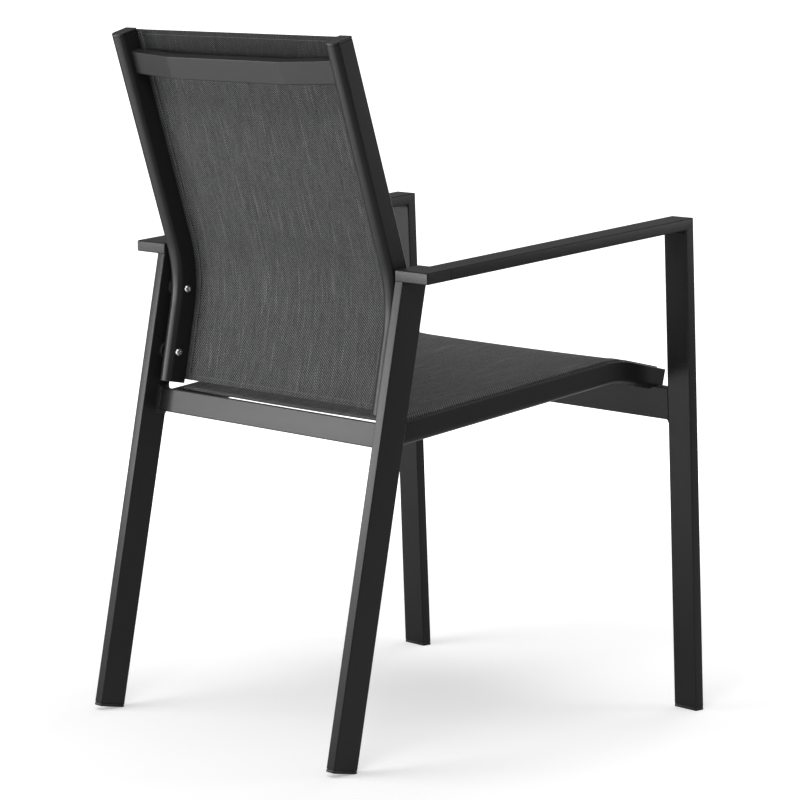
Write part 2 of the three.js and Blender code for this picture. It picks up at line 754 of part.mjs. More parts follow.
// A foot plug: a lip under the tube, a groove and a ribbed stem that grips inside the bore. The tube's
// end gives the station of its outline at a rise.
function footPlug(axis, width, height, endAt) {
  const half = new THREE.Vector2(width / 2, height / 2);
  const drawnIn = (rise, inset) => (across, up) => {
    const station = endAt(rise);
    return station(across * (1 - inset / half.x), up * (1 - inset / half.y));
  };
  const top = plugLip + plugGroove - weldGap;
  const rib = tubeWall + stemGap;
  const core = rib + plugRibDepth;
  const stations = [
    drawnIn(0, 0),
    drawnIn(plugLip, 0),
    drawnIn(plugLip, plugGrooveDepth),
    drawnIn(top, plugGrooveDepth),
    drawnIn(top, core),
  ];
  const pitch = (plugStem - top - plugRootRise) / (2 * plugRibCount - 1);
  for (let step = 0; step < plugRibCount; step += 1) {
    const start = top + plugRootRise + 2 * step * pitch;
    stations.push(levelOf(axis, start, core, half), levelOf(axis, start, rib, half));
    stations.push(levelOf(axis, start + pitch, rib, half));
    if (step < plugRibCount - 1) {
      stations.push(levelOf(axis, start + pitch, core, half));
    }
  }
  return loft(new THREE.Shape(roundedRectangle(width, height, tubeCorner)), stations);
}

// The front legs end level with the floor.
function frontFootPlug(hand) {
  const axis = frontLegAxis(hand);
  const endAt = (rise) => cutBy(axis, planeThrough(new THREE.Vector2(0, rise), quarter));
  return footPlug(axis, armWidth, frontLegDepth, endAt);
}

// The rear legs end square to themselves, and only the flat under the heel is on the floor.
function rearFootPlug(hand) {
  const axis = rearLegAxis(hand);
  const plug = footPlug(axis, rearLegWidth, rearLegDepth, (rise) => levelOf(axis, rise));
  const reach = rearLegWidth + cutOverrun;
  const floor = new THREE.BoxGeometry(reach, rearLegDepth + 2 * cutOverrun, 2 * cutOverrun);
  floor.translate(axis.at.x, axis.at.y, -cutOverrun);
  return cut(plug, closed(floor));
}

// A cap on the end of a rail: a plate of the rail's own outline with soft edges, and a stem in the
// main chamber.
function railCap(path, travel, hand, plate, edge, grooved) {
  const { at, along, out } = path.place(travel);
  const outward = Math.sign(travel);
  const axis = {
    at: inSpace(hand * railCentreX, at),
    along: inSpace(0, along.clone().multiplyScalar(outward)),
    right: new THREE.Vector3(hand, 0, 0),
    up: inSpace(0, out),
  };
  const half = new THREE.Vector2(railWidth / 2, railDepth / 2);
  const middle = new THREE.Vector2(0, -railDepth / 2);
  const base = grooved ? capGrooveHeight : weldGap;
  const levels = grooved ? [[weldGap, capGrooveDepth], [base, capGrooveDepth]] : [];
  levels.push([base, 0]);
  for (let step = 0; step <= edgeSteps; step += 1) {
    const angle = (quarter * step) / edgeSteps;
    levels.push([base + plate - edge * (1 - Math.sin(angle)), edge * (1 - Math.cos(angle))]);
  }
  const shell = levels.map(([rise, inset]) => levelOf(axis, rise, inset, half, middle));
  const stem = [weldGap + stemRoot, -capStem].map((rise) => levelOf(axis, rise));
  return join(
    loft(new THREE.Shape(railOutline()), shell),
    loft(new THREE.Shape(chamberOutline(stemGap)), stem),
  );
}

// Fasteners, turned about their own Y axis: the head is at the origin and the shank runs to +Y

function turned(profile) {
  const points = profile.map(([radius, height]) => new THREE.Vector2(radius, height));
  return closed(new THREE.LatheGeometry(points, roundSegments));
}

function bolt() {
  const top = -boltHeadHeight;
  const profile = [
    [0, top],
    [boltHeadFlatRadius, top],
    [(boltHeadFlatRadius + boltHeadRadius) / 2, top + boltHeadRim],
    [boltHeadRadius, -boltHeadRim],
    [boltHeadRadius, -seatGap],
    [boltRadius, -seatGap],
    [boltRadius, boltLength],
    [0, boltLength],
  ];
  const socket = new THREE.CylinderGeometry(socketRadius, socketRadius, 2 * socketDepth, socketSides);
  socket.translate(0, top, 0);
  return cut(turned(profile), closed(socket));
}

function spacer() {
  const bore = boltRadius + boltHoleGap;
  const recess = nutFlangeRadius + seatGap;
  const recessDepth = spacerThickness - nutFlangeHeight - 2 * seatGap;
  return turned([
    [bore, seatGap],
    [spacerRadius - spacerChamfer, seatGap],
    [spacerRadius, seatGap + spacerChamfer],
    [spacerRadius, spacerThickness - seatGap - spacerChamfer],
    [spacerRadius - spacerChamfer, spacerThickness - seatGap],
    [recess, spacerThickness - seatGap],
    [recess, recessDepth],
    [bore, recessDepth],
    [bore, seatGap],
  ]);
}

// A rivet nut: its flange on the leg's face at the origin, its bulge drawn up behind the wall.
function rivetNut() {
  const bore = boltRadius + seatGap;
  const behind = tubeWall + seatGap;
  return turned([
    [bore, -nutFlangeHeight - seatGap],
    [nutFlangeRadius, -nutFlangeHeight - seatGap],
    [nutFlangeRadius, -seatGap],
    [nutShankRadius, -seatGap],
    [nutShankRadius, behind],
    [nutBulgeRadius, behind],
    [nutShankRadius, behind + nutBulgeLength],
    [nutShankRadius, nutLength],
    [bore, nutLength],
    [bore, -nutFlangeHeight - seatGap],
  ]);
}

// The chair

const group = new THREE.Group();
const frame = new THREE.Group();
const back = new THREE.Group();
const seat = new THREE.Group();
group.add(frame, back, seat);

function piece(parent, name, geometry, material) {
  const mesh = new THREE.Mesh(geometry, material);
  mesh.name = name;
  parent.add(mesh);
  return mesh;
}

for (const [side, hand] of [['left', 1], ['right', -1]]) {
  piece(frame, `front_leg_${side}`, frontLeg(hand), coat);
  piece(frame, `rear_leg_${side}`, rearLeg(hand), coat);
  piece(frame, `arm_${side}`, arm(hand), coat);
  piece(frame, `arm_end_${side}`, armEnd(hand), coat);
  piece(frame, `front_foot_plug_${side}`, frontFootPlug(hand), blackPlastic);
  piece(frame, `rear_foot_plug_${side}`, rearFootPlug(hand), blackPlastic);

  piece(seat, `seat_rail_${side}`, seatRail(hand), coat);
  piece(seat, `seat_keder_${side}`, kederRod(seatPath, seatSlingFrom, seatSlingTo, hand), rodPlastic);
  const frontCap = railCap(seatPath, -seatFrontLength, hand, frontCapPlate, thinCapEdge, false);
  piece(seat, `seat_rail_front_cap_${side}`, cut(frontCap, crossbarCope(hand)), blackPlastic);

  piece(back, `back_rail_${side}`, backRail(hand), coat);
  piece(back, `back_keder_${side}`, kederRod(backPath, backSlingFrom, backSlingTo, hand), rodPlastic);
  const topCap = railCap(backPath, backUpperLength, hand, capPlate, capEdge, true);
  piece(back, `back_rail_top_cap_${side}`, topCap, blackPlastic);
  const lowerPlug = railCap(backPath, -backLowerLength, hand, lowerPlugPlate, thinCapEdge, false);
  piece(back, `back_rail_lower_plug_${side}`, lowerPlug, blackPlastic);

  ['lower', 'upper'].forEach((level, index) => {
    const fitted = [
      ['back_bolt', bolt(), railInnerX, stainless],
      ['back_spacer', spacer(), railOuterX, blackPlastic],
      ['rivet_nut', rivetNut(), rearLegInnerX, zincSteel],
    ];
    for (const [name, geometry, x, material] of fitted) {
      const mesh = piece(back, `${name}_${level}_${side}`, geometry, material);
      mesh.position.copy(inSpace(hand * x, boltPlaces[index]));
      mesh.rotation.z = -hand * quarter;
    }
  });
}

piece(frame, 'front_crossbar', frontCrossbar(), coat);
piece(frame, 'rear_crossbar', rearCrossbar(), coat);
piece(back, 'back_top_bar', backTopBar(), coat);

const backStations = slingStations(backPath, backSlingFrom, backSlingTo);
piece(back, 'back_sling', loft(slingSection(), backStations), fabric);
const seatStations = slingStations(seatPath, seatSlingFrom, seatSlingTo);
piece(seat, 'seat_sling', loft(slingSection(), seatStations), fabric);

export default group;
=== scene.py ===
import json
import math

import bpy
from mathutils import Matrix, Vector

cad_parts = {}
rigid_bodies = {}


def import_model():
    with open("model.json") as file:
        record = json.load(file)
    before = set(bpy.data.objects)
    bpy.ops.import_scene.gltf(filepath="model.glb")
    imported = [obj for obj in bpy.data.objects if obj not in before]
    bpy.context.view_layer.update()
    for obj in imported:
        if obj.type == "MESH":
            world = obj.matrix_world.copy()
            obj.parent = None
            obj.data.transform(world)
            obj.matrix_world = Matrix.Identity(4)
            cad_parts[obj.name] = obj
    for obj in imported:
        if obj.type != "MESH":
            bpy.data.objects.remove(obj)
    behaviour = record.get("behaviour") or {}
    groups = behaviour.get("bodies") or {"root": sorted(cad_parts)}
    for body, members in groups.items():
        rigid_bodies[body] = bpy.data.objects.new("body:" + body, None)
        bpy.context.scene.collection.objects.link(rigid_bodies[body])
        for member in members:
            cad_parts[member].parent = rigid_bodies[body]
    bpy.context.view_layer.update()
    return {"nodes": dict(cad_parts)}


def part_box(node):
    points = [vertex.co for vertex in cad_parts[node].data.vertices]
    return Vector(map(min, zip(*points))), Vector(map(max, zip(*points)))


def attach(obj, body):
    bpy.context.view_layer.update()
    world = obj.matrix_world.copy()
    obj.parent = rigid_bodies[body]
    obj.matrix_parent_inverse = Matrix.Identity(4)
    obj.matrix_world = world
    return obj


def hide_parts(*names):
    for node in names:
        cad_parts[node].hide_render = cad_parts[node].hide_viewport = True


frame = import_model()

QUARTER = math.pi / 2
SIDES = {"left": 1, "right": -1}
SIDEWAYS = Vector((1, 0, 0))
REARWARD = Vector((0, 1, 0))
UPWARD = Vector((0, 0, 1))

# The rails' lines in the side view, their corners as (y, z) in metres, as the frame has them
BACK_CORNER = Vector((0.1492, 0.5727))
BACK_LOWER_LEAN = math.radians(10.3)
BACK_UPPER_LEAN = math.radians(17.1)
BACK_BEND_RADIUS = 0.199
BACK_LOWER_LENGTH = 0.148
BACK_UPPER_LENGTH = 0.3296
SEAT_CORNER = Vector((-0.2061, 0.464))
SEAT_FRONT_SLOPE = math.radians(13)
SEAT_REAR_SLOPE = math.radians(6.9)
SEAT_BEND_RADIUS = 0.1385
SEAT_FRONT_LENGTH = 0.0812
SEAT_REAR_LENGTH = 0.3899

# The rail's section, with the middle of the keder's bore below the rail's top face
RAIL_CENTRE_X = 0.21295
RAIL_WIDTH = 0.0223
RAIL_INNER_X = RAIL_CENTRE_X - RAIL_WIDTH / 2
RAIL_DEPTH = 0.0292
RAIL_NOSE = 0.0084
RAIL_WALL = 0.0016
RAIL_CORNER = 0.0012
SLOT_WIDTH = 0.0032
SLOT_OFFSET = 0.0008
KEDER_BORE_RADIUS = 0.00365
KEDER_UP = -RAIL_WALL - math.sqrt(KEDER_BORE_RADIUS ** 2 - (SLOT_WIDTH / 2) ** 2)

# The legs' leans, the arm's slope, the ways that the rear leg and the arm run, and the arm's front mitre
REAR_LEG_LEAN = math.radians(10.86)
FRONT_LEG_LEAN = math.radians(2.53)
ARM_SLOPE = math.radians(5)
REAR_LEG_RUN = Vector((0, -math.sin(REAR_LEG_LEAN), math.cos(REAR_LEG_LEAN)))
ARM_RUN = Vector((0, math.cos(ARM_SLOPE), -math.sin(ARM_SLOPE)))
ARM_MITRE = Vector((0, -0.77, -0.64)).normalized()

# Welds: the room between two members, and how far a tube is drawn on into another's round edge
WELD_GAP = 0.00012
WELD_FILL = 0.0016
FILL_TAPER = 0.999

# The least cosine of a face that counts as facing a way, and the depth that a cut end's faces lie within
FACING = 0.9
END_DEPTH = 0.012

# The front crossbar's section, and the cut that copes a seat rail over it
FRONT_CROSSBAR_DEPTH = 0.0142
FRONT_CROSSBAR_HEIGHT = 0.0423
COPE_WIDTH = 0.04
COPE_AHEAD = 0.006
COPE_ROOM_DEPTH = 0.0004
COPE_ROOM_HEIGHT = 0.0002

# How far the rear crossbar's top stands above the solid's
REAR_CROSSBAR_RISE = 0.0012

# The bar across the back: its lower edge along the back's line, its rear face behind it, and its bow
TOP_BAR_HEIGHT = 0.0302
TOP_BAR_THICKNESS = 0.013
TOP_BAR_CORNER = 0.0015
TOP_BAR_RISE = 0.2775
TOP_BAR_REAR = 0.018
TOP_BAR_BOW = 0.0122
TOP_BAR_BEND_X = 0.111
TOP_BAR_BEND_RADIUS = 0.06
TOP_BAR_BEND_MARGIN = 0.003

# The slings, with the plies' middles above the rail's top face and the spans in travel along the rails
PLY = 0.0008
UNDER_PLY = 0.0007
TOP_PLY = 0.0015
FOLD_RADIUS = (TOP_PLY - UNDER_PLY) / 2
POCKET_RADIUS = 0.00285
POCKET_SEAM = 0.009
NECK_CLEARANCE = 0.00001
SLING_BEND = 0.0022
SEAM_X = RAIL_INNER_X - POCKET_SEAM
SEAT_SAG = 0.0012
HEM_WIDTH = 0.008
TOP_HEM_WIDTH = 0.036
BACK_SLING = (-0.144, 0.3312)
SEAT_SLING = (-0.0782, 0.3853)

# The pocket's way back under the panel, inward from its neck and down from the under ply
NECK_BEND = ((0, 0.0008), (0.0003, 0.0002), (0.001, 0))

# Sewing, with what a row leaves free at its ends
STITCH_PITCH = 0.0032
STITCH_LENGTH = 0.0023
STITCH_RADIUS = 0.00027
STITCH_LIFT = STITCH_RADIUS * 0.2
SEAM_INSET = 0.0016
SEAM_ROW_END = 0.002
HEM_ROW_END = 0.003

# The screws, the spacers and the caps' joints
SCREW_SIDES = 48
SCREW_RADIUS = 0.003
SCREW_LENGTH = 0.0365
SCREW_TIP = (0.00015, 0.0005)
SCREW_HEAD_RADIUS = 0.00525
SCREW_HEAD_HEIGHT = 0.0033
SCREW_EDGE = 0.0002
SCREW_FLAT_RADIUS = 0.0022
SOCKET_RIM = 0.0001
SOCKET_HALF_WIDTH = 0.002
SOCKET_DEPTH = 0.0019
SOCKET_FLOOR_INSET = 0.0009
SOCKET_FLOOR_CONE = 0.0005
SPACER_SIDES = 64
SPACER_EDGE = 0.0006
CAP_GAP = 0.0001
CAP_GROOVE_INSET = 0.0007

# How finely the meshes are made, and how near vertices merge
BEND_STEPS = 24
RAIL_SPACING = 0.06
CLOTH_SPACING = 0.012
PANEL_COLUMNS = 44
MERGE_DISTANCE = 1e-6

# Finishes: linear levels of colour, how much painted shade darkens the back's top hem, the yarns' pitches,
# and the cloth's length up to the back's top fold
COAT_LEVEL = 0.0165
FABRIC_LEVEL = 0.047
HEM_PAINTED_SHADE = 0.62
WARP_PITCH = 0.00119
WEFT_PITCH = 0.00089
TWILL = 4
WEFT_SEED = 7
HEMMED_LENGTH = BACK_SLING[1] - BACK_SLING[0] + HEM_WIDTH
HEM_EDGE = 0.001


def direction(angle):
    """A direction in the side view, from +Y towards +Z."""
    return Vector((math.cos(angle), math.sin(angle)))


class BentLine:
    """A line of two straights with an arc between, travelled from before its corner to after it."""

    def __init__(self, corner, start_angle, end_angle, radius):
        self.corner = corner
        self.start_angle = start_angle
        self.bend = start_angle - end_angle
        self.radius = radius
        self.reach = radius * math.tan(self.bend / 2)
        arc_start = corner - direction(start_angle) * self.reach
        self.centre = arc_start - direction(start_angle + QUARTER) * radius

    def angle(self, travel):
        share = min(max((travel + self.reach) / (2 * self.reach), 0), 1)
        return self.start_angle - self.bend * share

    def point(self, across, up, travel):
        """A point in space beside the line: across along X, up on the line's outward side."""
        angle = self.angle(travel)
        outward = direction(angle + QUARTER)
        if abs(travel) < self.reach:
            on_line = self.centre + outward * self.radius
        else:
            on_line = self.corner + direction(angle) * travel
        place = on_line + outward * up
        return Vector((across, place.x, place.y))

    def stops(self, start, end, spacing):
        """Travels from start to end, close together in the bend and no wider than the spacing outside it."""
        marks = [start, end]
        marks += [self.reach * (2 * step / BEND_STEPS - 1) for step in range(BEND_STEPS + 1)]
        marks = sorted(mark for mark in marks if start <= mark <= end)
        travels = [marks[0]]
        for mark in marks[1:]:
            gap = mark - travels[-1]
            pieces = max(1, math.ceil(gap / spacing))
            first = travels[-1]
            travels += [first + gap * (step + 1) / pieces for step in range(pieces)]
        return travels


back_line = BentLine(BACK_CORNER, QUARTER + BACK_LOWER_LEAN, QUARTER - BACK_UPPER_LEAN, BACK_BEND_RADIUS)
seat_line = BentLine(SEAT_CORNER, SEAT_FRONT_SLOPE, -SEAT_REAR_SLOPE, SEAT_BEND_RADIUS)


# Finishes

class Varying:
    """A number or colour that changes over a surface. Arithmetic on numbers adds Math nodes."""

    def __init__(self, finish, socket):
        self.finish = finish
        self.socket = socket

    def maths(self, operation, *others):
        return self.finish.node("ShaderNodeMath", {"operation": operation}, dict(enumerate((self, *others))))

    def __add__(self, other):
        return self.maths("ADD", other)

    __radd__ = __add__

    def __mul__(self, other):
        return self.maths("MULTIPLY", other)

    __rmul__ = __mul__

    def __sub__(self, other):
        return self.maths("SUBTRACT", other)

    def __rsub__(self, other):
        return self * -1 + other

    def __truediv__(self, other):
        return self.maths("DIVIDE", other)

    def __mod__(self, other):
        return self.maths("FLOORED_MODULO", other)

    def floor(self):
        return self.maths("FLOOR")

    def fraction(self):
        return self.maths("FRACT")

    def below(self, limit):
        return self.maths("LESS_THAN", limit)


class Finish:
    """A material with one shader. Sockets named here are the same all over the surface."""

    def __init__(self, name, **sockets):
        self.material = bpy.data.materials.new(name)
        self.material.use_nodes = True
        self.tree = self.material.node_tree
        self.shader = self.tree.nodes["Principled BSDF"]
        for label, value in sockets.items():
            self.shader.inputs[label.replace("_", " ").title().replace("Ior", "IOR")].default_value = value

    def fill(self, sockets, inputs):
        for key, value in inputs.items():
            if isinstance(value, Varying):
                self.tree.links.new(value.socket, sockets[key])
            else:
                sockets[key].default_value = value

    def node(self, kind, settings=None, inputs=None, output=0):
        """One node of any kind, with its settings and its sockets."""
        made = self.tree.nodes.new(kind)
        for key, value in (settings or {}).items():
            setattr(made, key, value)
        self.fill(made.inputs, inputs or {})
        return Varying(self, made.outputs[output])

    def surface(self, **inputs):
        """Links what varies into the shader."""
        self.fill(self.shader.inputs, {key.replace("_", " "): value for key, value in inputs.items()})

    def part_of(self, vector, axis):
        return self.node("ShaderNodeSeparateXYZ", {}, {"Vector": vector}, axis)

    def vector(self, **parts):
        return self.node("ShaderNodeCombineXYZ", {}, parts)

    def distance(self, vector, point):
        return self.node("ShaderNodeVectorMath", {"operation": "DISTANCE"}, {0: vector, 1: point}, "Value")

    def random_at(self, **parts):
        return self.node("ShaderNodeTexWhiteNoise", {}, {"Vector": self.vector(**parts)})

    def object_place(self, stretch=(1, 1, 1)):
        place = self.node("ShaderNodeTexCoord", output="Object")
        return self.node("ShaderNodeMapping", {}, {"Vector": place, "Scale": stretch})

    def noise(self, place, scale, detail=2, roughness=0.5):
        inputs = {"Vector": place, "Scale": scale, "Detail": detail, "Roughness": roughness}
        return self.node("ShaderNodeTexNoise", {}, inputs)

    def ramp(self, value, low, high):
        """The value's run from low to high as 0 to 1, smoothly."""
        inputs = {"Value": value, "From Min": low, "From Max": high}
        return self.node("ShaderNodeMapRange", {"interpolation_type": "SMOOTHSTEP"}, inputs)

    def colour(self, factor, first, second):
        inputs = {"Factor": factor, "A": first, "B": second}
        made = self.tree.nodes.new("ShaderNodeMix")
        made.data_type = "RGBA"
        colours = [socket for socket in made.inputs if socket.type == "RGBA"]
        self.fill({"Factor": made.inputs[0], "A": colours[0], "B": colours[1]}, inputs)
        return Varying(self, next(socket for socket in made.outputs if socket.type == "RGBA"))

    def bump(self, height, distance, strength, below=None):
        inputs = {"Height": height, "Distance": distance, "Strength": strength}
        if below is not None:
            inputs["Normal"] = below
        return self.node("ShaderNodeBump", {}, inputs)


def grey(level, warmth=0.0):
    """A near-neutral colour from its linear level."""
    return (level * (1 + warmth), level, level * (1 - warmth), 1)


def powder_coat():
    """Anthracite powder coat: a fine orange-peel skin with a faint metallic fleck and small scuffs."""
    finish = Finish("powder_coat", specular_ior_level=0.25)
    place = finish.object_place()
    lengthwise = finish.object_place(stretch=(1, 1, 0.25))
    cloud = finish.noise(place, scale=9, detail=3)
    fleck = finish.ramp(finish.noise(place, scale=2600, detail=1), 0.62, 0.72)
    scuff = finish.ramp(finish.noise(lengthwise, scale=160, detail=4, roughness=0.7), 0.66, 0.8)
    base = finish.colour(cloud, grey(COAT_LEVEL * 0.96, -0.012), grey(COAT_LEVEL * 1.05, -0.012))
    flecked = finish.colour(fleck * 0.25, base, grey(COAT_LEVEL * 2.4, -0.01))
    scuffed = finish.colour(scuff * 0.3, flecked, grey(COAT_LEVEL * 1.5))
    peel_height = finish.noise(place, scale=700, detail=3, roughness=0.55)
    peel = finish.bump(peel_height, distance=0.00012, strength=0.4)
    grain = finish.noise(place, scale=3200, detail=1)
    finish.surface(
        Base_Color=scuffed,
        Metallic=fleck * 0.3,
        Roughness=0.28 + cloud * 0.04 + scuff * 0.06,
        Normal=finish.bump(grain, distance=0.00004, strength=0.35, below=peel),
    )
    return finish.material


def sling_weave():
    """Coated yarns in a two-over-two twill, laid out by the cloth's own measure in metres, with painted shade
    between the yarns and on the back's top hem.
    """
    finish = Finish("sling_weave", specular_ior_level=0.15, sheen_weight=0.05, sheen_roughness=0.5)
    cloth = finish.node("ShaderNodeUVMap", {"uv_map": "cloth"})
    across = finish.part_of(cloth, "X") / WARP_PITCH
    length = finish.part_of(cloth, "Y")
    # Painted shade: the back's top hem beyond its fold is drawn darker, standing in for the light that its
    # two plies keep out
    hem_painted_shade_mask = finish.ramp(length, HEMMED_LENGTH, HEMMED_LENGTH + HEM_EDGE)
    along = (HEMMED_LENGTH - (length - HEMMED_LENGTH).maths("ABSOLUTE")) / WEFT_PITCH
    warp = across.floor()
    weft = along.floor()
    warp_over = ((warp - weft) % TWILL).below(TWILL / 2)
    weft_over = 1 - warp_over
    warp_round = (across.fraction() * math.pi).maths("SINE")
    weft_round = (along.fraction() * math.pi).maths("SINE")
    height = warp_over * warp_round + weft_over * weft_round * 0.75
    crossing = ((warp - weft) / TWILL).floor()
    warp_shade = finish.random_at(X=warp, Y=crossing)
    weft_shade = finish.random_at(X=crossing, Y=weft, Z=WEFT_SEED)
    streak = finish.noise(finish.vector(X=warp * 3.7, Y=along * 0.035), scale=1, roughness=0.6)
    broad = finish.noise(finish.vector(X=across * 0.12, Y=along * 0.012), scale=1)
    thickness = finish.noise(finish.vector(X=warp * 9.7, Y=along * 0.009), scale=1, detail=1)
    slub = finish.ramp(thickness, 0.63, 0.72)
    shade = (
        0.04
        + warp_over * (0.38 + (streak - 0.5) * 0.8 + slub * 0.5 + (warp_shade - 0.5) * 0.2)
        + weft_over * (0.02 + (weft_shade - 0.5) * 0.06)
        + (broad - 0.5) * 0.12
    )
    # Painted shade: the low gaps between the yarns are drawn darker, down to six tenths of the yarn's colour
    depth = finish.ramp(height, 0.05, 0.7)
    yarn = finish.colour(shade, grey(FABRIC_LEVEL * 0.15, -0.01), grey(FABRIC_LEVEL * 6, -0.01))
    gap_shaded_yarn = finish.colour(depth, yarn * 0.6, yarn)
    finish.surface(
        Base_Color=finish.colour(hem_painted_shade_mask * HEM_PAINTED_SHADE, gap_shaded_yarn, grey(0)),
        Roughness=0.6 + weft_over * 0.12,
        Normal=finish.bump(height, distance=0.00025, strength=0.4),
    )
    return finish.material


def sewing_thread():
    """Twisted polyester thread, a shade lighter than the cloth."""
    finish = Finish("sewing_thread", specular_ior_level=0.3)
    twist = finish.noise(finish.object_place(), scale=1900)
    finish.surface(
        Base_Color=finish.colour(twist, grey(0.11), grey(0.24)),
        Roughness=0.6 + twist * 0.2,
        Normal=finish.bump(twist, distance=0.0001, strength=0.6),
    )
    return finish.material


def black_plastic():
    """Moulded polypropylene with a fine spark-eroded grain, slightly greyed where it is handled."""
    finish = Finish("black_plastic", specular_ior_level=0.5)
    place = finish.object_place()
    grain = finish.noise(place, scale=1500, detail=3, roughness=0.6)
    worn = finish.ramp(finish.noise(place, scale=60, detail=4, roughness=0.6), 0.52, 0.75)
    finish.surface(
        Base_Color=finish.colour(worn * 0.6, grey(0.011), grey(0.022)),
        Roughness=0.42 + worn * 0.14 + grain * 0.08,
        Normal=finish.bump(grain, distance=0.0001, strength=0.5),
    )
    return finish.material


def rod_plastic():
    """Extruded grey rod with faint draw lines."""
    finish = Finish("rod_plastic", specular_ior_level=0.45)
    lines = finish.noise(finish.object_place(stretch=(1, 0.04, 0.04)), scale=900)
    finish.surface(
        Base_Color=finish.colour(lines, grey(0.24), grey(0.3)),
        Roughness=0.45 + lines * 0.15,
        Normal=finish.bump(lines, distance=0.00005, strength=0.4),
    )
    return finish.material


def bright_steel():
    """Stainless steel screw heads, turned and lightly scratched."""
    finish = Finish("bright_steel")
    rings = finish.noise(finish.object_place(stretch=(0.2, 1, 1)), scale=1700)
    scratch = finish.ramp(finish.noise(finish.object_place(), scale=700, detail=4, roughness=0.7), 0.55, 0.7)
    finish.surface(
        Base_Color=finish.colour(scratch, grey(0.62), grey(0.5)),
        Metallic=1.0 - scratch * 0.04,
        Roughness=0.2 + scratch * 0.12 + rings * 0.05,
        Normal=finish.bump(rings, distance=0.00003, strength=0.3),
    )
    return finish.material


def zinc_plate():
    """Yellowed zinc plating with its crystal bloom."""
    finish = Finish("zinc_plate")
    bloom = finish.node("ShaderNodeTexVoronoi", {}, {"Vector": finish.object_place(), "Scale": 900})
    finish.surface(
        Base_Color=finish.colour(bloom, (0.5, 0.48, 0.4, 1), (0.4, 0.39, 0.36, 1)),
        Metallic=0.95 - bloom * 0.1,
        Roughness=0.32 + bloom * 0.2,
        Normal=finish.bump(bloom, distance=0.00003, strength=0.3),
    )
    return finish.material


coat = powder_coat()
weave = sling_weave()
thread = sewing_thread()
plastic = black_plastic()
rod = rod_plastic()
steel = bright_steel()
zinc = zinc_plate()


# Making

def centre_of(node):
    low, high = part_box(node)
    return (low + high) / 2


def deselect():
    if bpy.context.object and bpy.context.object.mode != "OBJECT":
        bpy.ops.object.mode_set(mode="OBJECT")
    bpy.ops.object.select_all(action="DESELECT")


def take(piece):
    deselect()
    piece.select_set(True)
    bpy.context.view_layer.objects.active = piece


def edit(piece, action="DESELECT"):
    """Edit mode on one piece, with nothing selected in it, or all of it where the action is SELECT."""
    take(piece)
    bpy.ops.object.mode_set(mode="EDIT")
    bpy.ops.mesh.select_mode(type="FACE")
    bpy.ops.mesh.select_all(action=action)


def leave_edit():
    bpy.ops.object.mode_set(mode="OBJECT")


def pick(piece, kind, wanted):
    """Selects the edges or faces that pass, each judged with its middle, from edit mode and back to it."""
    leave_edit()
    mesh = piece.data
    for group in (mesh.vertices, mesh.edges, mesh.polygons):
        group.foreach_set("select", [False] * len(group))
    if kind == "EDGE":
        ends = [[mesh.vertices[i].co for i in part.vertices] for part in mesh.edges]
        chosen = [(part, (first + second) / 2) for part, (first, second) in zip(mesh.edges, ends)]
    else:
        chosen = [(part, part.center) for part in mesh.polygons]
    for part, middle in chosen:
        part.select = bool(wanted(part, middle))
    bpy.ops.object.mode_set(mode="EDIT")
    bpy.ops.mesh.select_mode(type=kind)


def extrude(move):
    bpy.ops.mesh.extrude_region_move(TRANSFORM_OT_translate={"value": move})


def apply_modifiers(piece):
    take(piece)
    for modifier in list(piece.modifiers):
        bpy.ops.object.modifier_apply(modifier=modifier.name)


def settle(piece, name, material, angle=50, flats=True):
    """Closes a piece's making: faces out, round parts smooth and flat ones flat, and its finish."""
    edit(piece, "SELECT")
    bpy.ops.mesh.remove_doubles(threshold=MERGE_DISTANCE)
    bpy.ops.mesh.normals_make_consistent(inside=False)
    leave_edit()
    bpy.ops.object.transform_apply(location=True, rotation=True, scale=True)
    bpy.ops.object.shade_smooth_by_angle(angle=math.radians(angle))
    if flats:
        piece.modifiers.new("flats", "WEIGHTED_NORMAL").keep_sharp = True
        apply_modifiers(piece)
    piece.name = name
    piece.data.name = name
    piece.data.materials.clear()
    piece.data.materials.append(material)


def stand_for(piece, node):
    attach(piece, "root")
    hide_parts(node)


def polygon(points, z):
    """A filled outline in a plane across the travel, its points (across, up)."""
    deselect()
    bpy.ops.mesh.primitive_circle_add(vertices=len(points), fill_type="NGON")
    piece = bpy.context.object
    for vertex, (across, up) in zip(piece.data.vertices, points):
        vertex.co = (across, up, z)
    return piece


def run_along(piece, stops):
    """Extrudes the outline from stop to stop."""
    edit(piece, "SELECT")
    for start, end in zip(stops, stops[1:]):
        extrude((0, 0, end - start))
    leave_edit()


def lay(piece, line):
    """Bends a piece made straight, across in X, up in Y and travel in Z, onto its line."""
    for vertex in piece.data.vertices:
        vertex.co = line.point(*vertex.co)
    piece.data.update()


def arc(centre, radius_across, radius_up, start, end, steps):
    """Points on an ellipse, from the start angle to the end angle."""
    points = []
    for step in range(steps + 1):
        angle = start + (end - start) * step / steps
        across = centre[0] + radius_across * math.cos(angle)
        points.append((across, centre[1] + radius_up * math.sin(angle)))
    return points


def rounded_rectangle(width, height, radius, steps=5):
    points = []
    for turn, (side, level) in enumerate(((1, 1), (-1, 1), (-1, -1), (1, -1))):
        corner = (side * (width / 2 - radius), level * (height / 2 - radius))
        points += arc(corner, radius, radius, turn * QUARTER, (turn + 1) * QUARTER, steps)
    return points


# Rails

